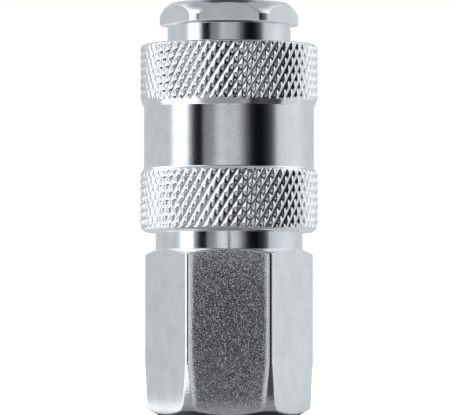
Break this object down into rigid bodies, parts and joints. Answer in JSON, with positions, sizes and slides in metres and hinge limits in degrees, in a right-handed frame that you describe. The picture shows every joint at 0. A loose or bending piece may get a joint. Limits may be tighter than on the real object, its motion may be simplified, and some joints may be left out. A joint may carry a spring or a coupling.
{
  "type": "quick disconnect coupler",
  "caption": "Sleeve-operated ball-lock quick disconnect coupler with a self-closing valve, a knurled sliding sleeve and a female pipe-thread port on a wrench hexagon.",
  "frame": {"origin": "centre of the port end face, on the coupler's axis, where it stands", "axes": "+Z along the axis from the port to the mouth that takes the plug; a flat of each hexagon faces -Y"},
  "size_m": [0.0266, 0.0266, 0.0618],
  "materials": {
    "plated_body": "bright nickel plate over turned and rolled hexagon bar",
    "plated_sleeve": "bright nickel plate over turned and knurled steel",
    "spring_steel": "drawn spring steel",
    "bare_steel": "punched and tumbled steel",
    "ball_steel": "polished hardened steel",
    "nitrile": "moulded nitrile rubber",
    "brass": "turned brass"
  },
  "bodies": {
    "body": {"rear_body": "plated_body", "front_body": "plated_body", "sleeve_stop_ring": "spring_steel", "plug_seal": "nitrile", "body_seal": "nitrile", "valve_guide": "brass", "sleeve_spring": "spring_steel", "valve_spring": "spring_steel"},
    "sleeve_carrier": {"spring_washer": "bare_steel"},
    "sleeve": {"sleeve": "plated_sleeve"},
    "valve": {"valve_stem": "brass", "valve_tappet": "brass", "valve_seal": "nitrile"},
    "ball_1": {"locking_ball_1": "ball_steel"},
    "ball_2": {"locking_ball_2": "ball_steel"},
    "ball_3": {"locking_ball_3": "ball_steel"},
    "ball_4": {"locking_ball_4": "ball_steel"},
    "ball_5": {"locking_ball_5": "ball_steel"},
    "ball_6": {"locking_ball_6": "ball_steel"},
    "ball_7": {"locking_ball_7": "ball_steel"},
    "ball_8": {"locking_ball_8": "ball_steel"}
  },
  "joints": [
    {"name": "sleeve_slide", "type": "slide", "parent": "body", "child": "sleeve_carrier", "axis": [0, 0, -1], "range_m": [0, 0.0024], "stiffness_N_per_m": 2000, "springref_m": -0.003, "deforming": ["sleeve_spring"]},
    {"name": "sleeve_spin", "type": "hinge", "parent": "sleeve_carrier", "child": "sleeve", "pos_m": [0, 0, 0.0459], "axis": [0, 0, 1], "continuous": true},
    {"name": "valve_slide", "type": "slide", "parent": "body", "child": "valve", "axis": [0, 0, -1], "range_m": [0, 0.0035], "stiffness_N_per_m": 450, "springref_m": -0.006, "deforming": ["valve_spring"]},
    {"name": "ball_1_slide", "type": "slide", "parent": "body", "child": "ball_1", "axis": [1, 0, 0], "range_m": [0, 0.00085]},
    {"name": "ball_2_slide", "type": "slide", "parent": "body", "child": "ball_2", "axis": [0.7071, 0.7071, 0], "range_m": [0, 0.00085]},
    {"name": "ball_3_slide", "type": "slide", "parent": "body", "child": "ball_3", "axis": [0, 1, 0], "range_m": [0, 0.00085]},
    {"name": "ball_4_slide", "type": "slide", "parent": "body", "child": "ball_4", "axis": [-0.7071, 0.7071, 0], "range_m": [0, 0.00085]},
    {"name": "ball_5_slide", "type": "slide", "parent": "body", "child": "ball_5", "axis": [-1, 0, 0], "range_m": [0, 0.00085]},
    {"name": "ball_6_slide", "type": "slide", "parent": "body", "child": "ball_6", "axis": [-0.7071, -0.7071, 0], "range_m": [0, 0.00085]},
    {"name": "ball_7_slide", "type": "slide", "parent": "body", "child": "ball_7", "axis": [0, -1, 0], "range_m": [0, 0.00085]},
    {"name": "ball_8_slide", "type": "slide", "parent": "body", "child": "ball_8", "axis": [0.7071, -0.7071, 0], "range_m": [0, 0.00085]}
  ],
  "couplings": [
    {"joint": "ball_1_slide", "follows": "sleeve_slide", "ratio": 0.35},
    {"joint": "ball_2_slide", "follows": "sleeve_slide", "ratio": 0.35},
    {"joint": "ball_3_slide", "follows": "sleeve_slide", "ratio": 0.35},
    {"joint": "ball_4_slide", "follows": "sleeve_slide", "ratio": 0.35},
    {"joint": "ball_5_slide", "follows": "sleeve_slide", "ratio": 0.35},
    {"joint": "ball_6_slide", "follows": "sleeve_slide", "ratio": 0.35},
    {"joint": "ball_7_slide", "follows": "sleeve_slide", "ratio": 0.35},
    {"joint": "ball_8_slide", "follows": "sleeve_slide", "ratio": 0.35}
  ]
}
